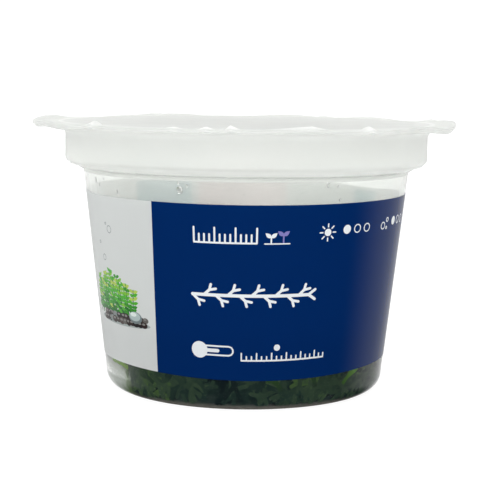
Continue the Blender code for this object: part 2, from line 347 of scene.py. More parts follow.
def stained_agar():
    """Wet jelly, nearly black green round the plants, then greenish, and pale and cloudy at the left. Its
    clouds are about 5 mm wide. Low down by the foot ring it is painted a lighter brownish grey, as
    painted light from the glowing table shining up through the heel."""
    made = new_material("stained agar gel")
    place = add_node(made, "ShaderNodeTexCoord").outputs["Object"]
    cloud = add_node(
        made, "ShaderNodeTexNoise", {"Scale": 1 / (5 * MM), "Detail": 4.0}, {"Vector": place}
    ).outputs[0]
    shade = add_node(made, "ShaderNodeValToRGB", links={0: cloud})
    shade.color_ramp.elements[0].position = 0.3
    shade.color_ramp.elements[0].color = linear("#17232a")
    shade.color_ramp.elements[1].position = 0.75
    shade.color_ramp.elements[1].color = linear("#30453c")
    height = add_node(made, "ShaderNodeSeparateXYZ", links={0: place}).outputs["Z"]
    # Painted light: below about 2 mm the gel is painted a lighter brownish grey for the table's glow
    # through the heel.
    thin = add_node(
        made, "ShaderNodeMapRange",
        {"interpolation_type": "SMOOTHSTEP", "From Min": 2.2 * MM, "From Max": 0.8 * MM},
        {"Value": height},
    ).outputs[0]
    foot = add_node(
        made, "ShaderNodeMix", {"data_type": "RGBA", 7: linear("#827f78")}, {0: thin, 6: shade.outputs[0]}
    ).outputs[2]
    flat = add_node(made, "ShaderNodeVectorMath", {"operation": "MULTIPLY", 1: (1, 1, 0)}, {0: place})
    direction = add_node(
        made, "ShaderNodeVectorMath", {"operation": "NORMALIZE"}, {0: flat.outputs[0]}
    ).outputs[0]
    sideways = add_node(made, "ShaderNodeSeparateXYZ", links={0: direction}).outputs["X"]
    ragged = add_node(
        made, "ShaderNodeMath", {"operation": "MULTIPLY_ADD", 1: 0.16}, {0: cloud, 2: sideways}
    ).outputs[0]
    stained = add_node(
        made, "ShaderNodeMapRange",
        {"interpolation_type": "SMOOTHSTEP", "From Min": PALE_TO, "From Max": STAINED_FROM},
        {"Value": ragged},
    ).outputs[0]
    raised = add_node(
        made, "ShaderNodeMapRange",
        {"interpolation_type": "SMOOTHSTEP", "From Min": HEEL_TOP, "From Max": HEEL_TOP + 3.5 * MM},
        {"Value": height},
    ).outputs[0]
    lump = add_node(
        made, "ShaderNodeMix", {"data_type": "RGBA", 6: linear("#b5bdb4"), 7: linear("#e8ede6")},
        {0: raised},
    ).outputs[2]
    greened = add_node(made, "ShaderNodeMapRange", {"From Max": 0.5}, {"Value": stained}).outputs[0]
    pale = add_node(
        made, "ShaderNodeMix", {"data_type": "RGBA", 7: linear("#86a06a")}, {0: greened, 6: lump}
    ).outputs[2]
    colour = add_node(
        made, "ShaderNodeMix", {"data_type": "RGBA"}, {0: stained, 6: pale, 7: foot}
    ).outputs[2]
    gel = add_node(
        made, "ShaderNodeBsdfPrincipled",
        {"IOR": 1.34, "Transmission Weight": 0.1, "Roughness": 0.12, "Specular IOR Level": 0.1},
        {"Base Color": colour},
    ).outputs[0]
    murk = add_node(
        made, "ShaderNodeMapRange", {"To Min": 8.0, "To Max": 420.0}, {"Value": stained}
    ).outputs[0]
    depth = add_node(
        made, "ShaderNodeVolumeAbsorption", {"Color": linear("#5a7048")}, {"Density": murk}
    ).outputs[0]
    add_node(made, "ShaderNodeOutputMaterial", links={"Surface": gel, "Volume": depth})
    return made


def gel_profile():
    """It fills the inside of the heel, and rises where it wets the wall."""
    side = wall_radius(HEEL_TOP) - FOOT_OUTER - SHEET + WETTING
    heel = arc((FOOT_OUTER, HEEL_TOP), (side, HEEL_TOP - SHEET + WETTING), 4, -90, 10)
    floor_height = PUSH_UP + SHEET - WETTING
    corner = (FOOT_INNER - PUSH_UP, floor_height)
    top = (heel[0][0] - MENISCUS, GEL_TOP)
    edge_height = 0.2 * MM
    edge = (heel[0][0] + edge_height * WALL_TAPER, heel[0][1] + edge_height)
    return [
        (0.0, GEL_TOP), *straight((0.0, GEL_TOP), top, 14), top, edge,
        *heel, (FOOT_INNER + 0.1 * MM, SHEET - WETTING), corner,
        *straight(corner, (0.0, floor_height), 5), (0.0, floor_height),
    ]


def raise_lump(mesh):
    """Lifts the top of the gel against the wall at the left, and leaves what lies on the heel in place."""
    for vertex in mesh.vertices:
        radius, angle = vertex.co.xy.length, math.atan2(vertex.co.y, vertex.co.x)
        on_heel = GEL_TOP + 0.01 * MM < vertex.co.z < HEEL_TOP + 0.3 * MM
        if vertex.co.z >= GEL_TOP and radius > SHORE_RADIUS and not on_heel:
            shore = min(1.0, (radius - SHORE_RADIUS) / SHORE_WIDTH)
            full = min(1.0, LUMP_FULLNESS * bell(angle, LUMP_DIRECTION, LUMP_HALF_WIDTH))
            lift = LUMP_RISE * shore * full
            vertex.co.z += lift
            vertex.co.xy *= 1.0 + (WALL_TAPER * lift + min(lift, WETTING)) / radius


gel_mesh = turned("agar_gel", gel_profile(), steps=120)
raise_lump(gel_mesh)
gel_mesh.materials.append(stained_agar())
piece("agar_gel", gel_mesh, "gel", "nutrient_gel")


# The mat of crystalwort
# A liverwort with neither leaves nor roots: flat green ribbons, a millimetre wide, which fork again and
# again and tangle into a cushion. It is fresh on top. Where it presses on the wall it is dark: partly the
# mat's own dark green, and partly painted shade for the shade it lies in under the label.

# The solids that touch in the cup keep this far apart, and so does the mat from the gel.
CLEARANCE = 0.3 * MM
MAT_FOOT = GEL_TOP + CLEARANCE
MAT_TOP = 19.0 * MM
TUFT_SPACING = 11.0 * MM
TUFT_HEIGHT = 3.2 * MM
TUFT_GRAIN = 1.2 * MM
EDGE_DROP = 1.6 * MM
HOLLOW_TOP = 11.5 * MM
HOLLOW_EASE = 3.0 * MM
HOLLOW_DEPTH = 7.5 * MM
HOLLOW_HALF_WIDTH = math.radians(42)
RIBBON_WIDTH = 1.15 * MM
RIBBON_THICKNESS = 0.3 * MM
SIDE_RIBBONS = 600
TOP_RIBBONS = 1100
# The ribbons at the wall lie over one another down to this depth.
PRESSED = 0.2 * MM
LOWEST_RIBBON = 1.5 * MM
FRESH_DIRECTION = math.radians(-52)
# Where a painted haze of light lightens the mat at the front left.
HAZE_DIRECTION = math.radians(-130)
# One long strand stands alone against the pale lump at the left.
STRAND_DIRECTION = math.radians(-143)
STRAND_SIZE = 8.5 * MM
STRAND_FOOT = 7.6 * MM
STRAND_LEAN = 1.35


def liverwort(name, shades, sheen):
    """Moist thin tissue: a soft sheen, light through it, and each ribbon its own shade of green. The
    sheen is weak where the ribbons are wetted against the wall. Its real cells are about 0.05 mm wide
    and are drawn 0.25 mm wide, because they would not show otherwise."""
    made = new_material(name)
    tint = add_node(made, "ShaderNodeAttribute", {"attribute_name": "age"}).outputs["Fac"]
    place = add_node(made, "ShaderNodeTexCoord").outputs["Object"]
    mottle = add_node(
        made, "ShaderNodeTexNoise", {"Scale": 1 / (1.2 * MM), "Detail": 3.0}, {"Vector": place}
    ).outputs[0]
    shifted = add_node(
        made, "ShaderNodeMath", {"operation": "MULTIPLY_ADD", 1: 0.2}, {0: mottle, 2: tint}
    ).outputs[0]
    ramp = add_node(made, "ShaderNodeValToRGB", links={0: shifted})
    stops = ramp.color_ramp.elements
    for _ in shades[2:]:
        stops.new(0.5)
    for stop, (position, colour) in zip(stops, shades):
        stop.position = position
        stop.color = linear(colour)
    cells = add_node(
        made, "ShaderNodeTexVoronoi", {"Scale": 1 / (0.25 * MM)}, {"Vector": place}
    ).outputs["Distance"]
    bump = add_node(
        made, "ShaderNodeBump", {"Strength": 0.4, "Distance": 0.05 * MM}, {"Height": cells}
    ).outputs[0]
    skin = add_node(
        made, "ShaderNodeBsdfPrincipled",
        {"Roughness": 0.36, "IOR": 1.4, "Specular IOR Level": sheen},
        {"Base Color": ramp.outputs[0], "Normal": bump},
    ).outputs[0]
    through = add_node(made, "ShaderNodeBsdfTranslucent", links={"Color": ramp.outputs[0]}).outputs[0]
    surface = add_node(made, "ShaderNodeMixShader", {0: 0.3}, {1: skin, 2: through}).outputs[0]
    add_node(made, "ShaderNodeOutputMaterial", links={"Surface": surface})
    return made


def mat_height(x, y):
    """Top of the dense part of the mat over this spot."""
    cells = noise.voronoi(Vector((x, y, MAT_TOP)) / TUFT_SPACING)[0]
    tuft = max(0.0, 1.0 - (cells[0] / 0.75) ** 2)
    grain = noise.noise(Vector((x, y, 0.0)) / (4 * MM))
    edge = max(0.0, math.hypot(x, y) / wall_radius(MAT_TOP) - 0.85) / 0.15
    return MAT_TOP + TUFT_HEIGHT * (tuft - 0.6) + TUFT_GRAIN * grain - EDGE_DROP * edge


def hollow(angle, z):
    """How far the mat keeps away from the wall low down at the left, where the pale lump of gel stands."""
    low = min(1.0, max(0.0, (HOLLOW_TOP - z) / HOLLOW_EASE))
    return HOLLOW_DEPTH * low * bell(angle, LUMP_DIRECTION, HOLLOW_HALF_WIDTH)


def ribbon_template(rng, levels):
    """A forked ribbon in its own plane, one long: a list of paths of (point, width share)."""
    paths = []

    def grow(point, heading, length, width, level):
        path = [(point, width)]
        bend = rng.gauss(0.0, 0.25)
        for i in range(3):
            heading += bend / 3
            point = point + length / 3 * np.array((math.sin(heading), math.cos(heading)))
            path.append((point, width * (1.0 - 0.04 * (i + 1))))
        along = np.array((math.sin(heading), math.cos(heading)))
        if level:
            paths.append(path)
            opening = rng.uniform(0.3, 0.58)
            for side in (-1, 1):
                turn = heading + side * opening * rng.uniform(0.7, 1.2)
                grow(point - 0.02 * along, turn, length * rng.uniform(0.6, 0.95), width * 0.94, level - 1)
        else:
            paths.append(path + [(point + 0.05 * along, width * 0.5)])

    grow(np.array((0.0, 0.0)), 0.0, 0.4, 1.0, levels)
    return paths


def ribbon(paths, size):
    """The points of a flat ribbon with its face up, its faces, and how far up it each point lies."""
    points, faces, reach = [], [], []
    for path in paths:
        first = len(points)
        for i, (point, share) in enumerate(path):
            ahead = path[min(i + 1, len(path) - 1)][0] - path[max(i - 1, 0)][0]
            ahead = ahead / np.linalg.norm(ahead)
            side = np.array((ahead[1], -ahead[0])) * RIBBON_WIDTH * share / 2
            centre = point * size
            points += [(*(centre - side), 0.0), (*(centre + side), 0.0), (*centre, RIBBON_THICKNESS)]
            reach += [np.linalg.norm(point)] * 3
        for i in range(len(path) - 1):
            a = first + 3 * i
            b = a + 3
            faces += [(a, b, b + 2, a + 2), (a + 2, b + 2, b + 1, a + 1), (a + 1, b + 1, b, a)]
        end = len(points) - 3
        faces += [(first, first + 2, first + 1), (end, end + 1, end + 2)]
    return np.array(points), faces, np.array(reach)


class Growth:
    """Collects many ribbons into one mesh, with the age of each point: dark at 0, and bright at 1."""

    def __init__(self):
        self.points, self.faces, self.ages, self.count = [], [], [], 0

    def add(self, points, faces, ages):
        """Takes in one ribbon."""
        self.points.append(points)
        self.faces += [tuple(i + self.count for i in face) for face in faces]
        self.ages.append(np.clip(ages, 0.0, 1.0))
        self.count += len(points)

    def mesh(self, name, material):
        """All the ribbons as one mesh, rounded but for their sharp edges."""
        made = bpy.data.meshes.new(name)
        made.from_pydata(np.vstack(self.points).tolist(), [], self.faces)
        age = made.attributes.new("age", "FLOAT", "POINT")
        age.data.foreach_set("value", np.concatenate(self.ages).astype(np.float32))
        made.shade_smooth()
        made.set_sharp_from_angle(angle=math.radians(50))
        made.materials.append(material)
        return made


def on_wall(points, direction, foot, depth):
    """Wraps a flat ribbon round the inside of the wall and the heel, this far behind their outside."""
    height = foot + points[:, 1]
    depth = depth + points[:, 2]
    below = np.clip((HEEL_TOP - height) / (HEEL_TOP - depth), 0.0, 0.95)
    heel = FOOT_OUTER + (wall_radius(HEEL_TOP) - FOOT_OUTER - depth) * np.sqrt(1.0 - below ** 2)
    radius = np.where(height < HEEL_TOP, heel, wall_radius(height) - depth)
    angle = direction + points[:, 0] / radius
    return np.column_stack((radius * np.cos(angle), radius * np.sin(angle), height))


def turned_by(points, angle):
    """Turns a flat ribbon in its own plane."""
    c, s = math.cos(angle), math.sin(angle)
    x, y = points[:, 0].copy(), points[:, 1].copy()
    return np.column_stack((x * c - y * s, x * s + y * c, points[:, 2]))


mat_rng = random.Random(11)
templates = [ribbon_template(mat_rng, 1 + i % 2) for i in range(16)]


def grow_side(growth, count):
    """Ribbons wetted against the wall, all round the side of the mat, one over another. At the front left
    they are painted a lighter greyish green, as a painted haze of light on the wall there, and they are
    greener at the front right and towards the top."""
    for _ in range(count):
        size = mat_rng.uniform(6.0, 10.0) * MM
        points, faces, reach = ribbon(mat_rng.choice(templates), size)
        flat = turned_by(points, mat_rng.uniform(0.0, math.tau))
        foot = mat_rng.uniform(0.0, MAT_TOP - 2.0 * MM)
        foot = min(max(foot, LOWEST_RIBBON - flat[:, 1].min()), MAT_TOP - flat[:, 1].max())
        direction = mat_rng.uniform(-math.pi, math.pi)
        share = mat_rng.random() ** 1.5
        depth = SHEET - WETTING - (1.0 - share) * PRESSED
        placed = on_wall(flat, direction, foot, depth)
        dry = [hollow(math.atan2(y, x), z) for x, y, z in placed]
        placed[:, :2] *= (1.0 - np.array(dry) / np.hypot(placed[:, 0], placed[:, 1]))[:, None]
        fresh = 0.24 * bell(direction, FRESH_DIRECTION, math.radians(48))
        # Painted haze: ribbons at the front left are painted lighter and greyer.
        painted_haze = 0.30 * bell(direction, HAZE_DIRECTION, math.radians(40))
        own = mat_rng.gauss(0.16, 0.08) + fresh + painted_haze - 0.1 * share
        rise = placed[:, 2] / MAT_TOP - 0.35
        growth.add(placed, faces, own + 0.12 * reach + 0.3 * rise)


def grow_top(growth, count):
    """Ribbons that stand out of the top of the mat, each leaning its own way."""
    reach_out = wall_radius(MAT_TOP) - SHEET - 3.5 * MM
    for _ in range(count):
        radius = reach_out * math.sqrt(mat_rng.random())
        angle = mat_rng.uniform(0.0, math.tau)
        x, y = radius * math.cos(angle), radius * math.sin(angle)
        size = mat_rng.uniform(5.5, 8.5) * MM
        points, faces, reach = ribbon(mat_rng.choice(templates), size)
        slope = Vector((
            mat_height(x - MM, y) - mat_height(x + MM, y),
            mat_height(x, y - MM) - mat_height(x, y + MM),
            2 * MM,
        )).normalized()
        lean = Vector((mat_rng.gauss(0.0, 0.55), mat_rng.gauss(0.0, 0.55), 1.0))
        along = (slope * 0.8 + lean).normalized()
        facing = Matrix.Rotation(mat_rng.uniform(0.0, math.tau), 3, "Y")
        turn = np.array(along.to_track_quat("Y", "Z").to_matrix() @ facing)
        root = np.array((x, y, mat_height(x, y))) - np.array(along) * size * 0.35
        placed = points @ turn.T + root
        limit = wall_radius(placed[:, 2]) - SHEET - 0.5 * MM
        own = mat_rng.gauss(0.45, 0.15)
        if (np.hypot(placed[:, 0], placed[:, 1]) < limit).all():
            growth.add(placed, faces, own + 0.4 * reach)


def dense_core(material):
    """The dense inside of the mat, closed. Its side is wetted against the wall but for the hollow, and
    its top lies just under the ribbons."""
    gap = SHEET - WETTING
    low = HEEL_TOP + 0.15 * MM
    foot, side = wall_radius(low) - gap, wall_radius(MAT_TOP) - gap
    rounding = 2.0 * MM
    under_ribbons = 0.8 * MM
    inner_part = 10 * MM
    profile = [
        *[((side - rounding) * i / 16, MAT_TOP) for i in range(16)],
        *arc((side - rounding, MAT_TOP - rounding), (rounding, rounding), 80, 0, 4),
        *straight((side, MAT_TOP - rounding), (foot, low), 16),
        *arc((foot - rounding, low), (rounding, low - MAT_FOOT), 0, -90, 4),
        (0.0, MAT_FOOT),
    ]
    mesh = turned("mat_core", profile, steps=180)
    ages = []
    for vertex in mesh.vertices:
        x, y, z = vertex.co
        angle = math.atan2(y, x)
        share = (z - MAT_FOOT) / (MAT_TOP - MAT_FOOT)
        vertex.co.z += (mat_height(x, y) - under_ribbons - MAT_TOP) * share ** 3
        grain = noise.noise(vertex.co / (2.5 * MM))
        patch = noise.noise(Vector((x, y, 1.6 * z)) / (5.0 * MM))
        radius = math.hypot(x, y)
        if share > 0.02 and radius > inner_part:
            vertex.co.xy *= 1.0 - hollow(angle, z) * (1.0 + 0.15 * grain) / radius
        fresh = 0.3 * bell(angle, FRESH_DIRECTION, math.radians(50))
        # Painted haze: the core at the front left is painted lighter and greyer.
        painted_haze = 0.36 * bell(angle, HAZE_DIRECTION, math.radians(45))
        ages.append(0.12 + 0.35 * patch + fresh + painted_haze)
    age = mesh.attributes.new("age", "FLOAT", "POINT")
    age.data.foreach_set("value", ages)
    mesh.materials.append(material)
    return mesh


# The dark stops are partly painted shade: they darken the mat for the shade it lies in under the label.
GREENS = (
    (0.10, "#1c2b2f"),
    (0.34, "#30463f"),
    (0.60, "#4d644d"),
    (1.05, "#86b52c"),
)
pressed_skin = liverwort("crystalwort wetted against the wall", GREENS, 0.0)
open_skin = liverwort("crystalwort in the open", GREENS, 0.5)
side_growth = Growth()
grow_side(side_growth, SIDE_RIBBONS)
flat, faces, reach = ribbon(templates[1], STRAND_SIZE)
placed = on_wall(turned_by(flat, STRAND_LEAN), STRAND_DIRECTION, STRAND_FOOT, SHEET - PRESSED)
side_growth.add(placed, faces, 0.85 + 0.2 * reach)
side_mesh = side_growth.mesh("mat_side_ribbons", pressed_skin)
piece("mat_side_ribbons", side_mesh, "plant_mat", "crystalwort_mat")
top_growth = Growth()
grow_top(top_growth, TOP_RIBBONS)
top_mesh = top_growth.mesh("mat_top_ribbons", open_skin)
piece("mat_top_ribbons", top_mesh, "plant_mat", "crystalwort_mat")
piece("mat_core", dense_core(pressed_skin), "plant_mat", "crystalwort_mat")


# The loose ribbons
# Single young ribbons of the same plant that have come off the mat. Water holds them flat and bright
# against the inside of the wall.

LOOSE_SIZE = 6.6 * MM
LOOSE_SUNK = 0.3 * MM
# For each one: its direction in degrees, its foot in mm, its lean, its share of the size, and its age.
LOOSE_RIBBONS = (
    (-61, 5.4, 0.15, 0.85, 0.0),
    (-75, 5.0, 0.6, 0.75, 0.0),
    (-47, 5.2, -0.5, 0.90, 0.4),
    (-128, 5.2, 0.8, 0.85, -0.15),
    (38, 5.0, -0.3, 1.00, 0.2),
    (104, 5.2, 0.4, 0.90, 0.2),
)

fresh_skin = liverwort("young crystalwort", (
    (0.1, "#2c4633"),
    (0.5, "#3c6a28"),
    (1.0, "#86cc30"),
), 0.3)
for number, (degrees, foot, lean, share, age) in enumerate(LOOSE_RIBBONS, start=1):
    growth = Growth()
    paths = ribbon_template(random.Random(40 + number), 2)
    flat, faces, reach = ribbon(paths, LOOSE_SIZE * share)
    direction = math.radians(degrees)
    placed = on_wall(turned_by(flat, lean), direction, foot * MM, SHEET - LOOSE_SUNK)
    growth.add(placed, faces, age + 0.3 * reach)
    mesh = growth.mesh(f"young_ribbon_{number}", fresh_skin)
    piece(f"young_ribbon_{number}", mesh, "plant_fresh", f"loose_ribbon_{number}")


# The condensation
# Plain water. The gel keeps the air in the cup wet, so it settles in drops, which cling to the inside of
# the wall above the plants.

# The drops that stand out: their direction in degrees, their height and their radius in mm.
DROP_SPOTS = (
    (-153.5, 51.6, 0.55),
    (-151.0, 50.6, 0.45),
    (-147.0, 52.1, 0.35),
    (-112.2, 50.9, 0.80),
    (-112.6, 52.4, 0.35),
    (-109.5, 51.8, 0.35),
    (-62.0, 52.2, 0.50),
    (-58.0, 51.9, 0.30),
    (-45.2, 6.6, 0.40),
)
FINE_DROPS = 110
NECK_FLARE = 0.145
# Shares of its radius: how far a drop stands off the wall, how long it is, and how it sags.
DROP_DEPTH = 0.55
DROP_LENGTH = 1.15
DROP_SAG = 0.25


def condensed_water():
    """Clear water: a bright spot and a dark rim on every drop, a little uneven where it clings."""
    made = new_material("condensed water")
    place = add_node(made, "ShaderNodeTexCoord").outputs["Object"]
    ripple = add_node(
        made, "ShaderNodeTexNoise", {"Scale": 1 / (0.8 * MM)}, {"Vector": place}
    ).outputs[0]
    bump = add_node(
        made, "ShaderNodeBump", {"Strength": 0.1, "Distance": 0.05 * MM}, {"Height": ripple}
    ).outputs[0]
    water = add_node(
        made, "ShaderNodeBsdfPrincipled",
        {"Base Color": linear("#fbfdfd"), "IOR": 1.33, "Transmission Weight": 1.0, "Roughness": 0.02},
        {"Normal": bump},
    ).outputs[0]
    add_node(made, "ShaderNodeOutputMaterial", links={"Surface": water})
    return made


def drop(direction, height, radius, rng):
    """A flattened dome of water that hangs on the wall: its points and faces."""
    wall = wall_radius(height) - SHEET + 0.02 * MM
    wall += NECK_FLARE * max(0.0, height - FLARE_FOOT)
    points, faces = [], []
    rings, spokes = 4, 12
    for ring in range(rings + 1):
        polar = math.pi / 2 * ring / rings
        for spoke in range(spokes):
            turn = math.tau * spoke / spokes
            wobble = 1.0 + 0.1 * math.sin(2 * turn + 6 * rng.random() * (ring == rings))
            side = radius * math.sin(polar) * math.cos(turn) * wobble
            rise = radius * math.sin(polar) * math.sin(turn) * DROP_LENGTH
            sag = 1.0 - DROP_SAG * math.sin(turn) * math.sin(polar)
            inward = radius * DROP_DEPTH * math.cos(polar) * sag
            z = height + rise
            reach = wall + WALL_TAPER * rise - inward
            angle = direction + side / wall
            points.append((reach * math.cos(angle), reach * math.sin(angle), z))
    for ring in range(rings):
        for spoke in range(spokes):
            a, b = ring * spokes + spoke, ring * spokes + (spoke + 1) % spokes
            faces.append((a, b, b + spokes, a + spokes) if ring else (a, b + spokes, a + spokes))
    faces.append(tuple(range(rings * spokes, (rings + 1) * spokes))[::-1])
    return points, faces


drop_rng = random.Random(23)
drop_spots = [(math.radians(d), z * MM, r * MM) for d, z, r in DROP_SPOTS]
for _ in range(FINE_DROPS):
    wet = (drop_rng.uniform(-math.pi, math.pi), drop_rng.uniform(26, 51.5) * MM)
    drop_spots.append((*wet, (0.14 + 0.3 * drop_rng.random() ** 2) * MM))
drop_points, drop_faces = [], []
for spot in drop_spots:
    points, faces = drop(*spot, drop_rng)
    drop_faces += [tuple(i + len(drop_points) for i in face) for face in faces]
    drop_points += points
drops = bpy.data.meshes.new("condensation")
drops.from_pydata(drop_points, [], drop_faces)
drops.shade_smooth()
drops.materials.append(condensed_water())
piece("condensation", drops, "gel")


# The lid film
# A thin peelable film, welded to the brim all round by a layer of seal. The seal puckers it, and a small
# tab at the left is left free to peel it by.

FILM = 0.3 * MM
FILM_RADIUS = 50.6 * MM
SEAL_INNER = 44.6 * MM
SAG = 0.5 * MM
# The folds of the seal: where each starts, peaks and ends, in degrees, how high it is in mm, and from
# which share of its height on it a highlight is painted white.
PUCKERS = (
    (-136.2, -133.0, -132.2, 1.1, 0.15),
    (-113.5, -108.5, -105.0, 0.5, 0.4),
    (-102.4, -100.2, -97.6, 0.7, 0.2),
    (-95.4, -94.2, -91.0, 1.1, 0.2),
    (-89.0, -73.5, -68.0, 0.9, 0.45),
    (-58.8, -57.2, -54.6, 1.1, 0.15),
    (16.0, 19.0, 24.0, 0.5, 0.5),
    (61.0, 65.0, 67.0, 0.4, 0.6),
    (117.0, 120.0, 126.0, 0.4, 0.6),
)
# Their crest lies on this radius, and they run out over these distances outwards and inwards, all in mm.
CREST = 49.3
OUTWARDS = 1.5
INWARDS = 2.6
# How white the painted highlights on the folds get at most.
BRIGHTEST_PAINTED_GLINT = 0.6


def sealing_film():
    """Milky film: it glows, and only soft shapes show through it. Its clouds are about 7 mm wide. The
    weld pressed a whiter line into it where it starts, and on its sharp folds highlights are painted in
    white."""
    made = new_material("milky sealing film")
    place = add_node(made, "ShaderNodeTexCoord").outputs["Object"]
    flat = add_node(made, "ShaderNodeVectorMath", {"operation": "MULTIPLY", 1: (1, 1, 0)}, {0: place})
    radius = add_node(
        made, "ShaderNodeVectorMath", {"operation": "LENGTH"}, {0: flat.outputs[0]}
    ).outputs["Value"]
    milk = add_node(
        made, "ShaderNodeMapRange",
        {"interpolation_type": "SMOOTHSTEP", "From Min": SEAL_INNER, "From Max": SEAL_INNER + 0.8 * MM,
         "To Min": 0.5, "To Max": 0.6},
        {"Value": radius},
    ).outputs[0]
    creases = add_node(
        made, "ShaderNodeTexNoise", {"Scale": 1 / (7 * MM), "Detail": 4.0}, {"Vector": place}
    ).outputs[0]
    bump = add_node(
        made, "ShaderNodeBump", {"Strength": 0.02, "Distance": 0.2 * MM}, {"Height": creases}
    ).outputs[0]
    off_edge = add_node(
        made, "ShaderNodeMath", {"operation": "SUBTRACT", 1: SEAL_INNER + 0.5 * MM}, {0: radius}
    ).outputs[0]
    off_weld = add_node(made, "ShaderNodeMath", {"operation": "ABSOLUTE"}, {0: off_edge}).outputs[0]
    weld = add_node(
        made, "ShaderNodeMapRange",
        {"interpolation_type": "SMOOTHSTEP", "From Min": 0.9 * MM, "From Max": 0.3 * MM, "To Max": 0.4},
        {"Value": off_weld},
    ).outputs[0]
    painted_glints = add_node(made, "ShaderNodeAttribute", {"attribute_name": "painted_glints_and_weld"}).outputs["Fac"]
    painted_glints_and_weld = add_node(
        made, "ShaderNodeMath", {"operation": "MAXIMUM"}, {0: painted_glints, 1: weld}
    ).outputs[0]
    clouded = add_node(
        made, "ShaderNodeMath", {"operation": "MULTIPLY_ADD", 1: 0.25}, {0: creases, 2: milk}
    ).outputs[0]
    whiter = add_node(
        made, "ShaderNodeMath", {"operation": "MAXIMUM"}, {0: clouded, 1: painted_glints_and_weld}
    ).outputs[0]
    # Painted highlight: the film's colour goes to near white where the folds carry glints, and paler along
    # the weld line.
    body = add_node(
        made, "ShaderNodeMix", {"data_type": "RGBA", 6: linear("#e0e1df"), 7: linear("#fafbfa")},
        {0: painted_glints_and_weld},
    ).outputs[2]
    clear = add_node(
        made, "ShaderNodeBsdfPrincipled",
        {"Base Color": linear("#f6f7f6"), "IOR": 1.5, "Transmission Weight": 1.0, "Roughness": 0.45},
        {"Normal": bump},
    ).outputs[0]
    milky_plastic(made, body, clear, whiter, 0.45, bump)
    return made


def pucker(angle, radius):
    """How high a crisp fold of the seal lifts the film here, and how strongly a white highlight is painted
    there. A fold is a tent along the brim. Across the brim it is rounded, and falls off faster outwards."""
    lift, white = 0.0, 0.0
    past = radius / MM - CREST
    fall = past / OUTWARDS if past > 0 else -past / INWARDS
    for start, peak, end, rise, plain in PUCKERS:
        off = math.degrees(math.remainder(angle - math.radians(peak), math.tau))
        tent = 1.0 - (off / (start - peak) if off < 0 else off / (end - peak))
        share = max(0.0, tent) * max(0.0, 1.0 - fall ** 2)
        lift = max(lift, rise * MM * share)
        white = max(white, min(1.0, (share - plain) / 0.2))
    return lift, white


film_radii = [0.0, *[SEAL_INNER * i / 12 for i in range(1, 13)]]
film_radii += [SEAL_INNER + (FILM_RADIUS - SEAL_INNER) * i / 22 for i in range(1, 23)]
film_top = FLANGE_TOP + CLEARANCE + FILM
film_mesh = turned("sealed_film", [(r, film_top) for r in film_radii], steps=720)
# Painted highlights: the crests of the folds are painted white, as glints of the lamp over the cup.
painted_glint_whites = []
for vertex in film_mesh.vertices:
    radius, angle = vertex.co.xy.length, math.atan2(vertex.co.y, vertex.co.x)
    lift, white = pucker(angle, radius)
    painted_glint_whites.append(BRIGHTEST_PAINTED_GLINT * white)
    sag = SAG * max(0.0, 1.0 - (radius / SEAL_INNER) ** 2)
    vertex.co.z += lift - sag
warp_brim(film_mesh)
painted_glints_and_weld = film_mesh.attributes.new("painted_glints_and_weld", "FLOAT", "POINT")
painted_glints_and_weld.data.foreach_set("value", painted_glint_whites)
film_mesh.materials.append(sealing_film())
# The seal fills the gap between film and brim, and lies in the brim by a trace.
film_and_seal = FILM + CLEARANCE + 0.02 * MM
thicken(piece("sealed_film", film_mesh, "lid_film", "lid_film"), film_and_seal)


# The label
# A printed polypropylene band, glued round the tapered wall with its two ends almost touching.
# The ink lies in the film's surface, so every mark is only colour: dark blue, pale grey and greens.

LABEL = 0.06 * MM
LABEL_LIFT = 0.09 * MM
# The art is drawn flat in mm: x runs along the label from the front, and y is the height on the cup.
# Directions on it are in degrees, counted from the front.
LABEL_FOOT = 7.55
LABEL_TOP = 47.87
LABEL_MIDDLE = wall_radius((LABEL_FOOT + LABEL_TOP) / 2 * MM) + LABEL_LIFT
MM_PER_DEGREE = LABEL_MIDDLE / MM * math.pi / 180
SEAM = -100.0
SEAM_GAP = 1.0
PANEL_EDGE = -33.0
SLANT = 1.3
NAVY_EDGE = 100.0
# The band isn't cut quite true to the cone. Both edges rise to the sides over this span of degrees from
# their middle, the top then rises on to the back over the next span, and it dips at the back right.
EDGE_MIDDLE = 5.0
SIDE_SPAN = 72.0
BACK_SPAN = 33.0
FOOT_SIDE_RISE = 1.1
TOP_SIDE_RISE = 0.25
TOP_BACK_RISE = 0.75
DIP = 1.5
DIP_DIRECTION = math.radians(124)
DIP_HALF_WIDTH = math.radians(45)
NAVY = linear("#032d69")
WHITE = linear("#f2f5f7")
LILAC = linear("#8f8ac6")
PANEL = linear("#d9dcdb")


def across(degrees):
    """Place along the label, in mm, of a direction counted from the front."""
    return degrees * MM_PER_DEGREE


LABEL_LEFT = across(SEAM) + SEAM_GAP
LABEL_RIGHT = across(SEAM + 360)


def circle(x, y, radius, high=None, count=24):
    """A circle, or an oval where its half height is given too."""
    turns = [math.tau * i / count for i in range(count)]
    return [(x + radius * math.cos(t), y + (high or radius) * math.sin(t)) for t in turns]


def rectangle(left, low, right, high):
    """The four corners of an upright rectangle."""
    return [(left, low), (right, low), (right, high), (left, high)]


def stroke(start, end, width, ink):
    """A straight stroke with round ends."""
    (x0, y0), (x1, y1) = start, end
    heading = math.atan2(y1 - y0, x1 - x0)
    outline = []
    for x, y, turn in ((x1, y1, -math.pi / 2), (x0, y0, math.pi / 2)):
        for i in range(6):
            angle = heading + turn + math.pi * i / 5
            outline.append((x + width / 2 * math.cos(angle), y + width / 2 * math.sin(angle)))
    return [(outline, ink)]


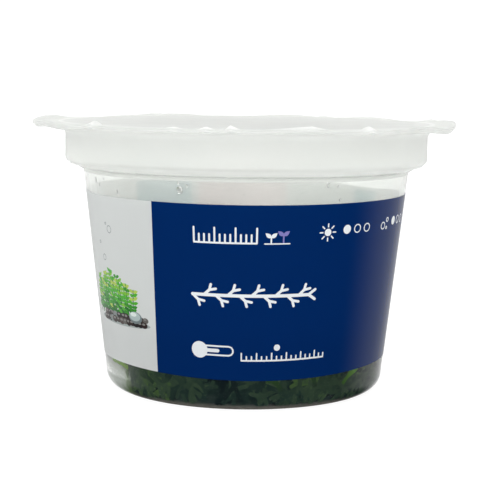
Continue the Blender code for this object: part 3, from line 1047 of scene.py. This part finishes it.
def leaf(x, y, heading, length, width, ink):
    """A pointed leaf that grows from (x, y)."""
    c, s = math.cos(heading), math.sin(heading)
    side = [(length * i / 6, -width / 2 * math.sin(math.pi * (i / 6) ** 0.8)) for i in range(7)]
    outline = side + [(u, -v) for u, v in reversed(side[1:-1])]
    return [([(x + u * c - v * s, y + u * s + v * c) for u, v in outline], ink)]


def rating(x, y, radius, filled, ink, ground):
    """Three round marks in a row, of which the first ones are filled."""
    made = []
    for i in range(3):
        made.append((circle(x + 3.05 * i, y, radius), ink))
        if i >= filled:
            made.append((circle(x + 3.05 * i, y, radius * 0.74), ground))
    return made


def sprig(start, end, y, ink):
    """A lying stem that forks to both sides, and whose branches fork again."""
    made = stroke((start, y), (end - 1.6, y), 0.75, ink)
    count = 10
    for i in range(count):
        x = start + (end - start - 4.0) * i / (count - 1)
        side = 1 if i % 2 else -1
        knee = (x + 1.25, y + side * 1.15)
        made += stroke((x, y), knee, 0.66, ink)
        made += stroke(knee, (knee[0] + 1.45, knee[1] + side * 0.3), 0.6, ink)
        made += stroke(knee, (knee[0] + 0.35, knee[1] + side * 1.3), 0.6, ink)
    for rise in (1.1, -1.1):
        made += stroke((end - 1.6, y), (end, y + rise), 0.66, ink)
    return made


def front_marks():
    """Pale marks on the dark panel: a height scale, two seedlings, a sun, bubbles, two ratings, a sprig,
    and a thermometer with its scale."""
    scale_foot = 39.3
    made = stroke((-11.2, scale_foot), (2.5, scale_foot), 0.42, WHITE)
    for i in range(13):
        x = -11.2 + 13.7 * i / 12
        tall = 3.4 if i % 4 == 0 else 1.9
        made += stroke((x, scale_foot), (x, scale_foot + tall), 0.42, WHITE)
    soil = 39.5
    for x, high, ink in ((5.6, 1.9, WHITE), (8.3, 2.7, LILAC)):
        made += stroke((x, soil), (x, soil + high * 0.7), 0.35, ink)
        made += leaf(x, soil + high * 0.55, 0.7, 1.7, 0.95, ink)
        made += leaf(x, soil + high * 0.55, math.pi - 0.7, 1.7, 0.95, ink)
    made += stroke((4.2, soil - 0.3), (9.7, soil - 0.3), 0.3, WHITE)
    sun = (18.6, 41.4)
    made.append((circle(*sun, 0.85), WHITE))
    for start, end in zip(circle(*sun, 1.3, count=8), circle(*sun, 1.95, count=8)):
        made += stroke(start, end, 0.34, WHITE)
    made += rating(23.7, 41.8, 1.06, 1, WHITE, NAVY)
    for x, y, radius in ((36.2, 41.6, 0.95), (38.0, 42.9, 0.6), (37.9, 41.0, 0.42)):
        made += [(circle(x, y, radius), WHITE), (circle(x, y, radius - 0.28), NAVY)]
    made += rating(41.5, 42.4, 1.06, 1, WHITE, NAVY)
    made += sprig(-11.9, 16.4, 27.3, WHITE)
    bulb, stem = (-10.4, 14.4), (-3.6, 14.4)
    made += stroke(bulb, stem, 2.5, WHITE) + stroke(bulb, stem, 1.7, NAVY)
    made.append((circle(-10.6, 14.4, 1.95), WHITE))
    made += stroke(bulb, (-6.2, 14.4), 0.85, WHITE)
    gauge_foot = 12.3
    made += stroke((-0.6, gauge_foot), (19.8, gauge_foot), 0.4, WHITE)
    for i in range(18):
        x = -0.6 + 1.2 * i
        tall = 1.7 if i % 3 == 0 else 0.95
        made += stroke((x, gauge_foot), (x, gauge_foot + tall), 0.36, WHITE)
    made.append((circle(7.8, 15.3, 0.75), WHITE))
    return made


def garden():
    """The picture on the pale panel: leafy stems in a bed of pebbles, and a few rings of bubbles."""
    rng = random.Random(5)
    greens = [linear(c) for c in ("#2c7a30", "#3f9a33", "#58b53a", "#86c340", "#b9cf63", "#4aa56a")]
    stones = [linear(c) for c in ("#3a3130", "#574c48", "#6d6a66", "#8b9494", "#2c2b2c", "#4a4441")]
    soil = 19.0
    made = [(circle(-34.5, 18.0, 10.8, 1.1), linear("#aab2b1"))]
    for stem in range(14):
        x = -46.0 + 1.25 * stem + rng.uniform(-0.4, 0.4)
        high = rng.uniform(8.5, 11.5) * (1.0 - 0.045 * abs(stem - 6.5))
        lean = rng.uniform(-0.12, 0.12)
        made += stroke((x, soil), (x + lean * high, soil + high), 0.35, greens[0])
        for i in range(int(high / 0.95)):
            y = 1.0 + 0.95 * i
            light = min(len(greens) - 1, max(0, int(rng.gauss(0.6 + 3.2 * y / high, 0.9))))
            for side in (0.35, math.pi - 0.35):
                length = rng.uniform(1.5, 2.3) * (1.1 - 0.35 * y / high)
                spread = side + rng.uniform(-0.25, 0.35) * math.cos(side)
                made += leaf(x + lean * y, soil + y, spread, length, 0.85, greens[light])
    for row, y in ((11, 19.3), (13, 18.1)):
        for i in range(row):
            x = -43.6 + 18.6 * (i + 0.5 * (row % 3)) / row + rng.uniform(-0.3, 0.3)
            wide, high = rng.uniform(0.9, 1.4), rng.uniform(0.65, 0.9)
            made.append((circle(x, y, wide, high, 14), rng.choice(stones)))
            made.append((circle(x - 0.2, y + 0.25, wide * 0.5, high * 0.35, 10), linear("#8f8d8a")))
    made.append((circle(-28.6, 19.6, 2.3, 1.45), linear("#7d8a8c")))
    made.append((circle(-28.8, 19.85, 1.95, 1.1), linear("#b9c7c6")))
    made.append((circle(-29.2, 20.3, 1.1, 0.5), linear("#e3ebe8")))
    for x, y, radius in ((-36.1, 39.9, 0.95), (-39.8, 32.8, 0.8), (-41.5, 36.4, 0.4), (-37.6, 41.2, 0.35)):
        made += [(circle(x, y, radius), linear("#8b9396")), (circle(x, y, radius - 0.16), PANEL)]
    return made


def back_marks():
    """The back of the label: four care pictures over plain ruled lines."""
    made = []
    tiles = (("#84b3b7", 118, 132), ("#d3d9d4", 133, 162), ("#dcc5c4", 163, 200), ("#86b2b8", 202, 229))
    for colour, start, end in tiles:
        left, right = across(start) + 0.3, across(end) - 0.3
        middle = (left + right) / 2
        made.append((rectangle(left, 30.5, right, 47.1), linear(colour)))
        made += stroke((middle - 3.2, 32.6), (middle + 3.2, 32.6), 0.5, linear("#3c4c4e"))
        for side in (-1, 1):
            made += leaf(middle, 33.3, math.pi / 2 + side * 0.55, 5.2, 2.1, linear("#3f7f4d"))
        made += leaf(middle, 33.3, math.pi / 2, 6.6, 2.1, linear("#5aa04a"))
    left, right = across(122), across(228)
    for row in range(8):
        y = 27.4 - 2.3 * row
        made += stroke((left, y), (right, y), 0.16, linear("#9aa1a4"))
        for column in range(5):
            x = left + 15.5 * column
            length = 5.0 + 1.7 * ((row * 3 + column * 2) % 4)
            made += stroke((x, y + 0.9), (x + length, y + 0.9), 0.5, NAVY)
    badge = across(243)
    made.append((circle(badge, 40.0, 3.2), NAVY))
    for side in (-0.5, 0.5):
        made += leaf(badge, 37.6, math.pi / 2 + side, 4.6, 1.7, WHITE)
    return made


def label_edge(x, y):
    """How far the label strays from its level here, between its lower and its upper edge."""
    degrees = x / MM_PER_DEGREE
    off = abs(degrees - EDGE_MIDDLE)
    to_side = math.sin(math.pi / 2 * min(SIDE_SPAN, off) / SIDE_SPAN) ** 2
    to_back = min(1.0, max(0.0, off - SIDE_SPAN) / BACK_SPAN)
    dip = DIP * bell(math.radians(degrees), DIP_DIRECTION, DIP_HALF_WIDTH)
    foot = FOOT_SIDE_RISE * to_side
    top = TOP_SIDE_RISE * to_side + TOP_BACK_RISE * to_back - dip
    share = (y - LABEL_FOOT) / (LABEL_TOP - LABEL_FOOT)
    return foot + (top - foot) * share


def wrap(x, y, lift):
    """A point of the flat label, wrapped round the cup."""
    height = (y + label_edge(x, y)) * MM
    radius = wall_radius(height) + lift
    angle = math.radians(x / MM_PER_DEGREE - 90)
    return (radius * math.cos(angle), radius * math.sin(angle), height)


def flat_label(art):
    """Cuts the marks out of the flat label, with points about 2 mm apart so that it bends evenly. Gives its
    points, its triangles and the ink of each."""
    points, faces = [], []
    for outline, _ in art:
        fine = []
        for start, end in zip(outline, [*outline[1:], outline[0]]):
            count = max(1, math.ceil(math.dist(start, end) / 1.9))
            fine += [start, *straight(start, end, count)]
        faces.append(list(range(len(points), len(points) + len(fine))))
        points += fine
    columns = int((LABEL_RIGHT - LABEL_LEFT) / 1.95)
    for i in range(1, columns):
        for j in range(1, 12):
            y = LABEL_FOOT + (LABEL_TOP - LABEL_FOOT) * j / 12
            points.append((LABEL_LEFT + (LABEL_RIGHT - LABEL_LEFT) * i / columns, y))
    result = geometry.delaunay_2d_cdt([Vector(p) for p in points], [], faces, 1, 1e-4, True)
    flat, _, triangles, _, _, sources = result
    inks = [art[max(source)][1] for source in sources]
    return [tuple(p) for p in flat], triangles, inks


def printed_film():
    """Glossy polypropylene film: even ink, mirrored lights drawn out by waves 16 mm long, and a weak light
    from behind. The dots of the print, 0.15 mm wide, are drawn as a grain of 0.5 mm, so that they show
    in the gloss at all."""
    made = new_material("printed polypropylene film")
    ink = add_node(made, "ShaderNodeAttribute", {"attribute_name": "ink"}).outputs["Color"]
    place = add_node(made, "ShaderNodeTexCoord").outputs["Object"]
    grain = add_node(
        made, "ShaderNodeTexNoise", {"Scale": 1 / (0.5 * MM), "Detail": 2.0}, {"Vector": place}
    ).outputs[0]
    waves = add_node(
        made, "ShaderNodeTexNoise", {"Scale": 1 / (16 * MM), "Detail": 1.0}, {"Vector": place}
    ).outputs[0]
    roughness = add_node(
        made, "ShaderNodeMapRange", {"To Min": 0.03, "To Max": 0.09}, {"Value": grain}
    ).outputs[0]
    bump = add_node(
        made, "ShaderNodeBump", {"Strength": 0.15, "Distance": 0.1 * MM}, {"Height": waves}
    ).outputs[0]
    print_side = add_node(
        made, "ShaderNodeBsdfPrincipled", {"IOR": 1.5, "Specular IOR Level": 0.5},
        {"Base Color": ink, "Roughness": roughness, "Normal": bump},
    ).outputs[0]
    through = add_node(made, "ShaderNodeBsdfTranslucent", links={"Color": ink}).outputs[0]
    surface = add_node(
        made, "ShaderNodeMixShader", {0: 0.45}, {1: print_side, 2: through}
    ).outputs[0]
    add_node(made, "ShaderNodeOutputMaterial", links={"Surface": surface})
    return made


def label_mesh(art):
    """The wrapped label: printed outside, pale inside, and closed round its edge."""
    flat, triangles, inks = flat_label(art)
    outer = [wrap(x, y, LABEL_LIFT) for x, y in flat]
    inner = [wrap(x, y, LABEL_LIFT - LABEL) for x, y in flat]
    count = len(flat)
    faces = [tuple(t) for t in triangles] + [tuple(i + count for i in reversed(t)) for t in triangles]
    used = {(a, b) for t in triangles for a, b in zip(t, [*t[1:], t[0]])}
    rim = [(a, b) for a, b in used if (b, a) not in used]
    faces += [(b, a, a + count, b + count) for a, b in sorted(rim)]
    mesh = bpy.data.meshes.new("printed_label")
    mesh.from_pydata(outer + inner, [], faces)
    pale = [[0.95 * (0.8 + 0.2 * min(1.0, c * 1.5)) for c in ink[:3]] + [1.0] for ink in inks]
    colours = list(inks) + pale + [WHITE] * len(rim)
    layer = mesh.color_attributes.new("ink", "FLOAT_COLOR", "CORNER")
    for face, colour in zip(mesh.polygons, colours):
        for corner in face.loop_indices:
            layer.data[corner].color = colour
    normals = [Vector((x, y, -WALL_TAPER * math.hypot(x, y))).normalized() for x, y, _ in outer]
    normals += [-n for n in normals]
    mesh.shade_smooth()
    mesh.normals_split_custom_set_from_vertices(normals)
    return mesh


panel_foot = (across(PANEL_EDGE) - SLANT, LABEL_FOOT)
panel_top = (across(PANEL_EDGE), LABEL_TOP)
navy_right = across(NAVY_EDGE)
label_art = [
    ([(LABEL_LEFT, LABEL_FOOT), panel_foot, panel_top, (LABEL_LEFT, LABEL_TOP)], PANEL),
    ([panel_foot, (navy_right, LABEL_FOOT), (navy_right, LABEL_TOP), panel_top], NAVY),
    (rectangle(navy_right, LABEL_FOOT, LABEL_RIGHT, LABEL_TOP), PANEL),
    *front_marks(), *garden(), *back_marks(),
]
mesh = label_mesh(label_art)
mesh.materials.append(printed_film())
piece("printed_label", mesh, "label_print", "label")


# The stage
# A white light table and a pale surround. A soft light hangs over the cup, and another fills in from the
# front.

floor_mesh = turned("floor", [(0.0, 0.0), *[(0.15 * 2 ** i, 0.0) for i in range(8)]], steps=64)
floor = bpy.data.objects.new("floor", floor_mesh)
bpy.context.scene.collection.objects.link(floor)
floor.visible_glossy = False
# A matt white sheet that glows by itself, so that the cup casts hardly any shadow on it.
table = new_material("white light table")
table_surface = add_node(
    table, "ShaderNodeBsdfPrincipled",
    {"Base Color": linear("#6e6e6e"), "Roughness": 0.9, "Specular IOR Level": 0.1,
     "Emission Color": linear("#ffffff"), "Emission Strength": 0.93},
).outputs[0]
add_node(table, "ShaderNodeOutputMaterial", links={"Surface": table_surface})
floor_mesh.materials.append(table)


def soft_light(name, place, size, watts):
    """A square lamp with a diffuser, which points at the middle of the cup."""
    light = bpy.data.lights.new(name, "AREA")
    light.shape = "SQUARE"
    light.size = size
    light.energy = watts
    obj = bpy.data.objects.new(name, light)
    obj.location = place
    obj.rotation_euler = (Vector((0, 0, 0.05)) - Vector(place)).to_track_quat("-Z", "Y").to_euler()
    bpy.context.scene.collection.objects.link(obj)
    return obj


soft_light("overhead", (0.0, 0.1, 0.8), 0.3, 1.3)
soft_light("front_fill", (-0.3, -1.2, 0.4), 0.8, 3.5).visible_glossy = False

# What the gloss and the clear plastic see is bright behind and above, less so at the right, and dark in
# front. All the rest is lit by an even white.
world = bpy.data.worlds.new("surround")
bpy.context.scene.world = world
world.use_nodes = True
world.node_tree.nodes.clear()
direction = add_node(world, "ShaderNodeTexCoord").outputs["Generated"]
parts = add_node(world, "ShaderNodeSeparateXYZ", links={0: direction}).outputs
behind = add_node(
    world, "ShaderNodeMapRange",
    {"interpolation_type": "SMOOTHSTEP", "From Min": -0.15, "From Max": 0.5, "To Min": 0.01,
     "To Max": 0.92},
    {"Value": parts["Y"]},
).outputs[0]
right = add_node(
    world, "ShaderNodeMapRange",
    {"interpolation_type": "SMOOTHSTEP", "From Min": 0.3, "From Max": 0.9, "To Min": 1.0,
     "To Max": 0.68},
    {"Value": parts["X"]},
).outputs[0]
above = add_node(
    world, "ShaderNodeMapRange",
    {"interpolation_type": "SMOOTHSTEP", "From Min": -0.55, "From Max": -0.3},
    {"Value": parts["Z"]},
).outputs[0]
sides = add_node(world, "ShaderNodeMath", {"operation": "MULTIPLY"}, {0: behind, 1: right}).outputs[0]
around = add_node(world, "ShaderNodeMath", {"operation": "MULTIPLY"}, {0: sides, 1: above}).outputs[0]
ceiling = add_node(
    world, "ShaderNodeMapRange",
    {"interpolation_type": "SMOOTHSTEP", "From Min": 0.3, "From Max": 0.7, "To Max": 0.7},
    {"Value": parts["Z"]},
).outputs[0]
shade = add_node(world, "ShaderNodeMath", {"operation": "MAXIMUM"}, {0: around, 1: ceiling}).outputs[0]
mirrored = add_node(
    world, "ShaderNodeBackground", {"Color": linear("#ffffff")}, {"Strength": shade}
).outputs[0]
plain = add_node(
    world, "ShaderNodeBackground", {"Color": linear("#ffffff"), "Strength": 1.13}
).outputs[0]
path = add_node(world, "ShaderNodeLightPath").outputs
clean = add_node(
    world, "ShaderNodeMath", {"operation": "MAXIMUM"},
    {0: path["Is Glossy Ray"], 1: path["Is Transmission Ray"]},
).outputs[0]
sharp = add_node(
    world, "ShaderNodeMath", {"operation": "SUBTRACT", "use_clamp": True},
    {0: clean, 1: path["Is Diffuse Ray"]},
).outputs[0]
mixed = add_node(world, "ShaderNodeMixShader", links={0: sharp, 1: plain, 2: mirrored}).outputs[0]
add_node(world, "ShaderNodeOutputWorld", links={"Surface": mixed})
bpy.context.scene.view_settings.view_transform = "Standard"


# The camera
# It stands where the photographer stood, a little above the brim and close to level.

PHOTO_WIDTH = 480
LENS_IN_PIXELS = 1550
CAMERA_PLACE = (0.0, -0.3793, 0.0788)
yaw, pitch, roll = -0.0034, 0.113, 0.0117
camera = bpy.data.objects.new("camera", bpy.data.cameras.new("camera"))
camera.data.sensor_width = 36.0
camera.data.lens = camera.data.sensor_width * LENS_IN_PIXELS / PHOTO_WIDTH
camera.data.clip_start = 0.01
forward = Vector((math.sin(yaw) * math.cos(pitch), math.cos(yaw) * math.cos(pitch), -math.sin(pitch)))
level = forward.cross(Vector((0.0, 0.0, 1.0))).normalized()
upward = level.cross(forward)
side = level * math.cos(roll) + upward * math.sin(roll)
top = upward * math.cos(roll) - level * math.sin(roll)
aim = Matrix((side, top, -forward)).transposed().to_4x4()
camera.matrix_world = Matrix.Translation(CAMERA_PLACE) @ aim
bpy.context.scene.collection.objects.link(camera)
bpy.context.scene.camera = camera
